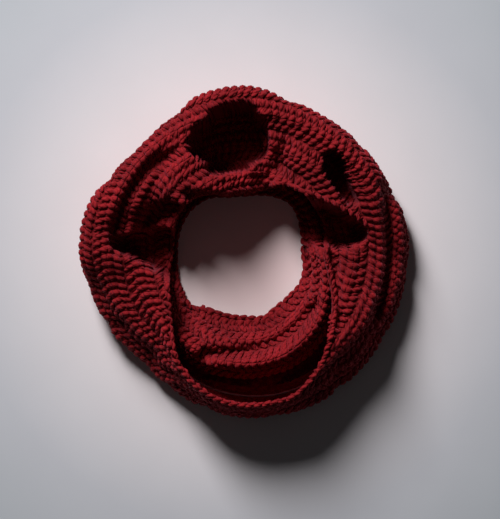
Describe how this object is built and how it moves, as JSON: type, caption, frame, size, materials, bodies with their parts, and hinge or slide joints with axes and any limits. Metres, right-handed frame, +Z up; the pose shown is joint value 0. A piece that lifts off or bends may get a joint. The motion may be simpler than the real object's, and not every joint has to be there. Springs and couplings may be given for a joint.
{
  "type": "neck warmer",
  "caption": "Hand-crocheted loop neck warmer laid down in a ring of two turns round an open middle, with a deep rolled rim and soft folds.",
  "frame": {"origin": "middle of the bounding box, on the table that the ring lies on", "axes": "+Z up from the table, +Y towards the back of the ring as it is seen from above, +X to the right"},
  "size_m": [0.2852, 0.2842, 0.0777],
  "materials": {
    "yarn": "dark crimson chunky yarn in rows of crochet, matt with a soft sheen",
    "hidden_yarn": "the same crimson yarn, inside layers"
  },
  "bodies": {
    "root": {"outer_turn": "yarn", "crossing_stretch": "yarn", "inner_turn": "yarn", "hidden_layers": "hidden_yarn"}
  },
  "joints": []
}
